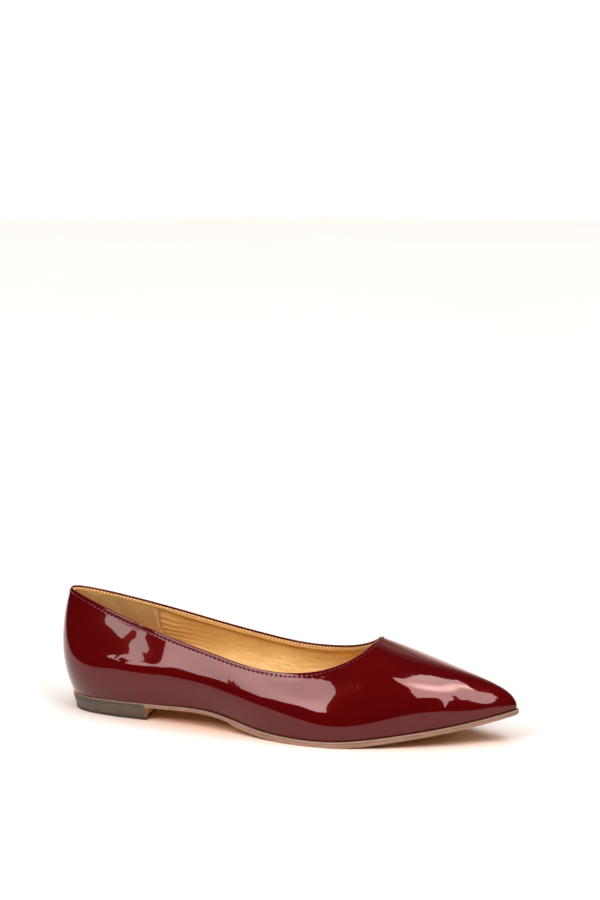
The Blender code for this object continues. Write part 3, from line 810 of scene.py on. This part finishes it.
def make_outsole():
    """The moulded sole: a raised lip, a groove under it, a rounded lower edge and a finely ribbed tread."""
    ring_places = np.arange(720) * TOE_TIP / 720
    rim = sole_rim(around(ring_places)[:, 0])
    x = feather_ring(ring_places, rim, 0)[:, 0]
    thick = sole_thickness(x)
    rings = []
    for inset, depth, height in SOLE_EDGE:
        ring = feather_ring(ring_places, rim - inset * MM, GAP)
        under = np.maximum(ring[:, 2] - thick, 0.0)
        if depth is None:
            ring[:, 2] = under + height * MM
        else:
            ring[:, 2] = np.maximum(ring[:, 2] - depth * MM, under + LEAST_EDGE)
        rings.append(ring)
    count = len(ring_places)
    half = count // 2
    points = [np.vstack(rings)]
    faces = [quads(len(rings), count, False, True)]
    edge_slots = np.zeros((len(rings) - 1, count), int)
    # The lip's rows take the paler rubber, a painted highlight along the lip.
    edge_slots[LIP_ROWS] = 1
    edge_slots[SIDE_ROWS, x < BREAST_POSITION] = 3
    slots = [edge_slots.ravel()]
    # Top and underside: rungs from the outer side to the inner side.
    across = 17
    for ring, lower in ((rings[0], False), (rings[-1], True)):
        outer, inner = ring[1:half], ring[:half:-1]
        share = np.linspace(0, 1, across)[None, :, None]
        grid = outer[:, None] * (1 - share) + inner[:, None] * share
        if lower:
            level = feather_level(grid[..., 0].ravel()).reshape(grid.shape[:2]) - GAP
            under = np.maximum(level - sole_thickness(grid[..., 0].ravel()).reshape(level.shape), 0.0)
            depth_in = np.minimum(share[..., 0], 1 - share[..., 0]) * np.linalg.norm(outer - inner, axis=1)[:, None]
            tread = smooth_step(grid[..., 0], RIBS_START, RIBS_FULL) * smooth_step(depth_in, 3 * MM, 4 * MM)
            rib = smooth_step(np.abs((grid[..., 0] / RIB_PITCH) % 1 - 0.5), 0.28, 0.42)
            grid[..., 2] = under + RIB_HEIGHT * tread * rib
        start = sum(len(block) for block in points)
        points.append(grid.reshape(-1, 3))
        faces.append(quads(half - 1, across, False, False) + start)
        slots.append(np.full((half - 2) * (across - 1), 2 if lower else 0))
    rubbers = [sole_rubber, lip_rubber_painted_highlight, gum_rubber, heel_rubber]
    made = piece("sole_unit", np.vstack(points), np.concatenate(faces), rubbers, np.concatenate(slots))
    # The rungs join the edge's rings, and the small gaps at the toe tip and the heel's back are closed.
    work = bmesh.new()
    work.from_mesh(made.data)
    bmesh.ops.remove_doubles(work, verts=work.verts, dist=0.02 * MM)
    edges = [e for e in work.edges if e.is_boundary]
    bmesh.ops.holes_fill(work, edges=edges, sides=6)
    bmesh.ops.recalc_face_normals(work, faces=work.faces)
    work.to_mesh(made.data)
    work.free()
    return settle(made, "sole_rubber", "outsole")


# Points along each side of the heel and across its breast.
SIDE_POINTS = 81
BREAST_POINTS = 26
SEAM = 0.02 * MM


def breast_x(y):
    """The hollowed front of the heel."""
    half = HEEL_WIDTH / 2
    radius = (half**2 + BREAST_HOLLOW**2) / (2 * BREAST_HOLLOW)
    return BREAST_POSITION - BREAST_HOLLOW + radius - np.sqrt(radius**2 - y**2)


def heel_ring(inset, level):
    """A closed ring round the heel: outer side, back, inner side, then across the breast."""
    rows = []
    for side in (1, -1):
        fine = HEEL_BACK - side * np.linspace(5, 0, 1200)
        ring = around(fine % TOE_TIP)[:, :2] + outward(fine, 0) * (SEAT_RIM - inset)
        inside = ring[:, 0] <= breast_x(ring[:, 1])
        ring = ring[np.argmax(inside):]
        run = np.append(0, np.linalg.norm(np.diff(ring, axis=0), axis=1).cumsum())
        steps = np.linspace(0, run[-1], SIDE_POINTS)
        rows.append(np.column_stack([np.interp(steps, run, ring[:, i]) for i in range(2)]))
    outer, inner = rows
    y = np.linspace(inner[0, 1], outer[0, 1], BREAST_POINTS)[1:-1]
    breast = np.column_stack([breast_x(y), y])
    ring = np.vstack([outer, inner[-2::-1], breast])
    return np.column_stack([ring, level(ring[:, 0]) if callable(level) else np.full(len(ring), level)])


def make_heel_block():
    """The low block, tapered down, with a gum faced breast."""
    def top_level(x):
        return feather_level(x) - GAP - WAIST_THICKNESS - SEAM

    foot_inset = BLOCK_INSET + BLOCK_TAPER
    foot = TOP_PIECE_THICKNESS + SEAM
    rings = [
        heel_ring(BLOCK_INSET + 0.25 * MM, top_level),
        heel_ring(BLOCK_INSET, lambda x: top_level(x) - 0.35 * MM),
        heel_ring(BLOCK_INSET + BLOCK_TAPER / 2, lambda x: (top_level(x) + foot) / 2),
        heel_ring(foot_inset, foot + 0.2 * MM),
        heel_ring(foot_inset + 0.12 * MM, foot),
    ]
    count = len(rings[0])
    faces = quads(len(rings), count, False, True).tolist()
    slots = np.zeros((len(rings) - 1, count), int)
    # The breast's faces take the gum coloured lighter, painted light on the shaded breast.
    slots[:, 2 * SIDE_POINTS - 1:] = 1
    faces += [range(count), range((len(rings) - 1) * count, len(rings) * count)]
    slots = np.append(slots.ravel(), [0, 0])
    made = piece("heel_block_dressed", np.vstack(rings), faces, [heel_rubber, breast_gum_painted_light], slots)
    made.data.set_sharp_from_angle(angle=np.radians(40))
    return settle(made, "heel_rubber", "heel_block")


def dress_top_piece():
    """The ribbed top piece keeps its solid, in dark wear rubber."""
    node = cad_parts["heel_top_piece"]
    for slot in node.material_slots:
        slot.material = tread_rubber


make_patent_upper()
make_collar_stitches()
make_lining()
make_piping_bead()
make_piping_stitches()
make_heel_grip()
make_grip_stitches()
make_sock()
make_outsole()
make_heel_block()
dress_top_piece()


# ---------------------------------------------------------------- studio

# The cards stand this far from the shoe's middle, in metres, so that each is seen in one direction from all of it.
CENTRE = np.array([0.132, 0.0, 0.03]) - SHIFT
CARD_DISTANCE = 9.0
CLAMP_DISTANCE = 8.0
# Where the painted warm bounce on the paper begins to fade and where it is gone, in metres out from under the shoe.
PAINTED_BOUNCE_START, PAINTED_BOUNCE_END = 0.020, 0.052
FLOOR_RADIUS = 2.6
DOME_RADIUS = 2.55
FILL_RADIUS, FILL_LEVEL = 6.2, 7.9


def directions(corners):
    """Unit vectors for azimuths and elevations in degrees."""
    azimuth, elevation = np.radians(np.array(corners, float)).T
    flat = np.cos(elevation)
    return np.column_stack([flat * np.cos(azimuth), flat * np.sin(azimuth), np.sin(elevation)])


def glow(name, colour, strength, core=None):
    """An even light of that colour, for a card. core adds a soft bright spot: its direction, reach and strength."""
    made = bpy.data.materials.new(name)
    made.use_nodes = True
    tree = made.node_tree
    tree.nodes.clear()
    light = add(tree, "ShaderNodeEmission", {"Color": linear(colour), "Strength": strength})
    if core:
        way, reach, extra = core
        where = add(tree, "ShaderNodeTexCoord").outputs["Object"]
        centre = add(tree, "ShaderNodeCombineXYZ", dict(zip("XYZ", CENTRE + CARD_DISTANCE * directions([way])[0])))
        far = add(tree, "ShaderNodeVectorMath", {"operation": "DISTANCE"})
        tree.links.new(where, far.inputs[0])
        tree.links.new(centre.outputs[0], far.inputs[1])
        spread = add(tree, "ShaderNodeMapRange", {
            "interpolation_type": "SMOOTHERSTEP", "From Min": 0.0, "From Max": reach * CARD_DISTANCE,
            "To Min": strength + extra, "To Max": strength,
        }, Value=far.outputs["Value"])
        tree.links.new(spread.outputs[0], light.inputs["Strength"])
    add(tree, "ShaderNodeOutputMaterial", Surface=light.outputs[0])
    return made


def staged(name, points, faces, material, **rays):
    """A piece of the studio: its mesh, its material and which rays see it."""
    mesh = bpy.data.meshes.new(name)
    mesh.from_pydata(points, [], faces)
    mesh.materials.append(material)
    made = placed(name, mesh)
    for ray, seen in rays.items():
        setattr(made, ray, seen)
    return made


def sky_card(name, corners, material, distance=CARD_DISTANCE, **rays):
    """A card far off round the shoe, from the azimuth and elevation of its corners as seen from the shoe."""
    corners = np.array(corners, float)
    steps = np.linspace(0, 1, 7)[:-1, None]
    line = np.vstack([a * (1 - steps) + b * steps for a, b in zip(corners, np.roll(corners, -1, axis=0))])
    ways = directions(line)
    faces = tessellate_polygon([[Vector((x, y, 0)) for x, y, _ in ways]])
    return staged(name, (CENTRE + distance * ways).tolist(), faces, material, visible_camera=False, **rays)


def flat_sheet(name, outline, level, material, **rays):
    """A level sheet with that outline."""
    points = [(x, y, level) for x, y in outline]
    return staged(name, points, [tuple(range(len(points)))], material, **rays)


def circle(radius):
    """The outline of a round sheet over the origin."""
    return [(radius * np.cos(turn), radius * np.sin(turn)) for turn in np.arange(96) * 2 * np.pi / 96]


# Paper, matt and white, with painted warm bounce light close to the shoe: a peach tint in its colour that stands in
# for the light the red patent throws on it.
paper = finish("matt_white_paper", ("#f4f3f1", "#f1f0ee"), 300, (0.9, 0.95), [("noise", 2.0, 0.01, EVEN)])
shader = paper.node_tree.nodes["Principled BSDF"]
white = shader.inputs["Base Color"].links[0].from_socket
near = add(paper.node_tree, "ShaderNodeTexCoord").outputs["Object"]
near = add(paper.node_tree, "ShaderNodeMapping", {"Scale": (0.35, 1.0, 1.0)}, Vector=near).outputs[0]
near = add(paper.node_tree, "ShaderNodeVectorMath", {"operation": "LENGTH"}, Vector=near).outputs["Value"]
near = add(paper.node_tree, "ShaderNodeMapRange", {
    "interpolation_type": "SMOOTHSTEP", "From Min": PAINTED_BOUNCE_START, "From Max": PAINTED_BOUNCE_END,
}, Value=near).outputs[0]
# The painted warm bounce: peach paper colour close to the shoe, blending into the plain white further out.
painted_bounce = add(paper.node_tree, "ShaderNodeMix", {"data_type": "RGBA"}, Factor=near)
painted_bounce.inputs[6].default_value = linear("#fbd9bf")
paper.node_tree.links.new(white, painted_bounce.inputs[7])
paper.node_tree.links.new(painted_bounce.outputs[2], shader.inputs["Base Color"])
flat_sheet("studio_floor", circle(FLOOR_RADIUS), 0.0, paper)
# In front of the shoe the paper ends soon, so the patent mirrors only a narrow stretch of it. The camera sees the
# whole floor, and only reflections meet this sheet, which lies just over it.
PAPER_EDGE = [
    (-0.38, -0.48), (-0.09, -0.21), (-0.02, -0.19), (0.10, -0.30), (0.5, -0.75), (0.5, -2.5), (-2.2, -2.5),
    (-2.2, -0.48),
]
PAPER_EDGE_LEVEL = 0.0004
flat_sheet(
    "paper_edge", [tuple(np.array(point) - SHIFT[:2]) for point in PAPER_EDGE], PAPER_EDGE_LEVEL,
    glow("paper_edge", "#000000", 0.0), visible_camera=False, visible_diffuse=False, visible_shadow=False,
)

# Azimuth and elevation of each card's corners, in degrees. First the big softbox on the left, with the notch of its
# stand near the heel, and a dark clamp in front of it.
LEFT_SOFTBOX = [
    (-135.2, 20), (-134, 23), (-125, 23), (-121.2, 23.6), (-119.5, 27), (-117, 32), (-112.8, 35.5), (-109.7, 34.5),
    (-100, 28.8), (-94, 30), (-96.9, 42.7), (-99.1, 50.3), (-100.9, 52.9), (-107.2, 58.5), (-118.5, 65.4),
    (-130.8, 65.5), (-159.6, 72.8), (-145, 60), (-133, 48), (-128.5, 40.9), (-130.2, 40.9), (-131.3, 37.6),
    (-131.1, 28.3), (-131.4, 24.4), (-132.1, 23.8), (-132.2, 28.9), (-132.5, 33.2), (-132.9, 35.5), (-133.8, 34.4),
    (-134.4, 31.4), (-135.5, 28.4),
]
CLAMP = [
    (-130, 26.4), (-128.7, 24.5), (-126.6, 20), (-124.9, 20), (-124.4, 34.6), (-125.8, 33.9), (-127.5, 35.8),
    (-128.6, 36.3), (-129.3, 36.1), (-129.7, 33.5),
]
# The strip on the right, which runs up from the front and over the top.
RIGHT_STRIP = [
    (-53.2, 33.4), (-53.4, 39.4), (-52.4, 48), (-48.3, 56.7), (-44.5, 62.5), (-43.5, 69), (-42.4, 74), (-37, 78),
    (-27.3, 80.5), (-19.8, 82), (-1.2, 80), (10.9, 78.3), (36.4, 75.6), (53.8, 71.7), (66.7, 65.7), (50, 68.8),
    (35, 69.2), (15, 68.4), (5, 67.2), (-8, 64.4), (-18, 59.3), (-25, 53.5), (-31, 44), (-34.3, 35), (-35.6, 30.8),
    (-37.3, 30.4), (-38, 28.2), (-41.3, 16), (-42.1, 12.3), (-42.8, 10.7), (-42.7, 13.2), (-42.6, 16),
    (-41.5, 25.6), (-39.1, 38.9), (-41.4, 38.4), (-48.2, 36.6),
]
sky_card("left_softbox", LEFT_SOFTBOX, glow("left_softbox", "#fff4f0", 6.3, ((-102, 38), 0.42, 3.2)))
sky_card(
    "stand_clamp", CLAMP, glow("stand_clamp", "#000000", 0.0), CLAMP_DISTANCE, visible_diffuse=False,
    visible_shadow=False,
)
sky_card("right_strip", RIGHT_STRIP, glow("right_strip", "#ffeae4", 8.2, ((-14, 64), 0.26, 11.0)))
# Cards behind the shoe that grow dimmer upwards, which give the vamp's ridge its soft pale edge.
for name, (low, high, strength) in {
    "back_low": (0, 18, 1.3), "back_middle": (18, 26, 0.75), "back_high": (26, 33, 0.32), "back_top": (33, 42, 0.1)
}.items():
    sky_card(name, [(40, low), (150, low), (150, high), (40, high)], glow(name, "#ffdcd4", strength))
# A ceiling that fills the shadows, and that the patent doesn't mirror.
flat_sheet(
    "top_fill", circle(FILL_RADIUS), FILL_LEVEL, glow("top_fill", "#fffdfb", 1.95), visible_camera=False,
    visible_glossy=False,
)

# The plain white backdrop, which only the camera sees.
backdrop = glow("white_backdrop", "#ffffff", 1.05)
bpy.ops.mesh.primitive_uv_sphere_add(segments=64, ring_count=32, radius=DOME_RADIUS, location=(0, 0, 0))
dome = bpy.context.object
dome.name = "white_dome"
dome.data.materials.append(backdrop)
for ray in ("visible_diffuse", "visible_glossy", "visible_transmission", "visible_volume_scatter", "visible_shadow"):
    setattr(dome, ray, False)

world = bpy.data.worlds.new("dark_studio")
world.use_nodes = True
world.node_tree.nodes["Background"].inputs["Color"].default_value = linear("#1c1b1b")
bpy.context.scene.world = world
bpy.context.scene.view_settings.view_transform = "Standard"


# ---------------------------------------------------------------- camera

# Fitted to the photo: the camera's place round the shoe, how it is turned off its middle, in radians, and its focal
# length over the picture's height.
CAMERA_AZIMUTH, CAMERA_ELEVATION = np.radians(19.5), np.radians(14.8)
CAMERA_DISTANCE = 1.7
LOOK_AT = np.array([0.132, 0.0, 0.025]) - SHIFT
PITCH, YAW = -0.07361, 0.005237
SENSOR = 36.0
FOCAL_SHARE = 3075.7 / 900

back = np.array([
    np.sin(CAMERA_AZIMUTH) * np.cos(CAMERA_ELEVATION),
    -np.cos(CAMERA_AZIMUTH) * np.cos(CAMERA_ELEVATION),
    np.sin(CAMERA_ELEVATION),
])
right = np.array([np.cos(CAMERA_AZIMUTH), np.sin(CAMERA_AZIMUTH), 0.0])
level_view = np.array([right, np.cross(back, right), back])
cos_yaw, sin_yaw, cos_pitch, sin_pitch = np.cos(YAW), np.sin(YAW), np.cos(PITCH), np.sin(PITCH)
yaw = np.array([[cos_yaw, 0, sin_yaw], [0, 1, 0], [-sin_yaw, 0, cos_yaw]])
pitch = np.array([[1, 0, 0], [0, cos_pitch, -sin_pitch], [0, sin_pitch, cos_pitch]])
turned = (pitch @ yaw @ level_view).T
lens = bpy.data.cameras.new("photo_camera")
lens.sensor_fit = "VERTICAL"
lens.sensor_height = SENSOR
lens.lens = SENSOR * FOCAL_SHARE
camera = bpy.data.objects.new("photo_camera", lens)
bpy.context.scene.collection.objects.link(camera)
camera.matrix_world = Matrix.Translation(LOOK_AT + CAMERA_DISTANCE * back) @ Matrix(turned.tolist()).to_4x4()
bpy.context.scene.camera = camera
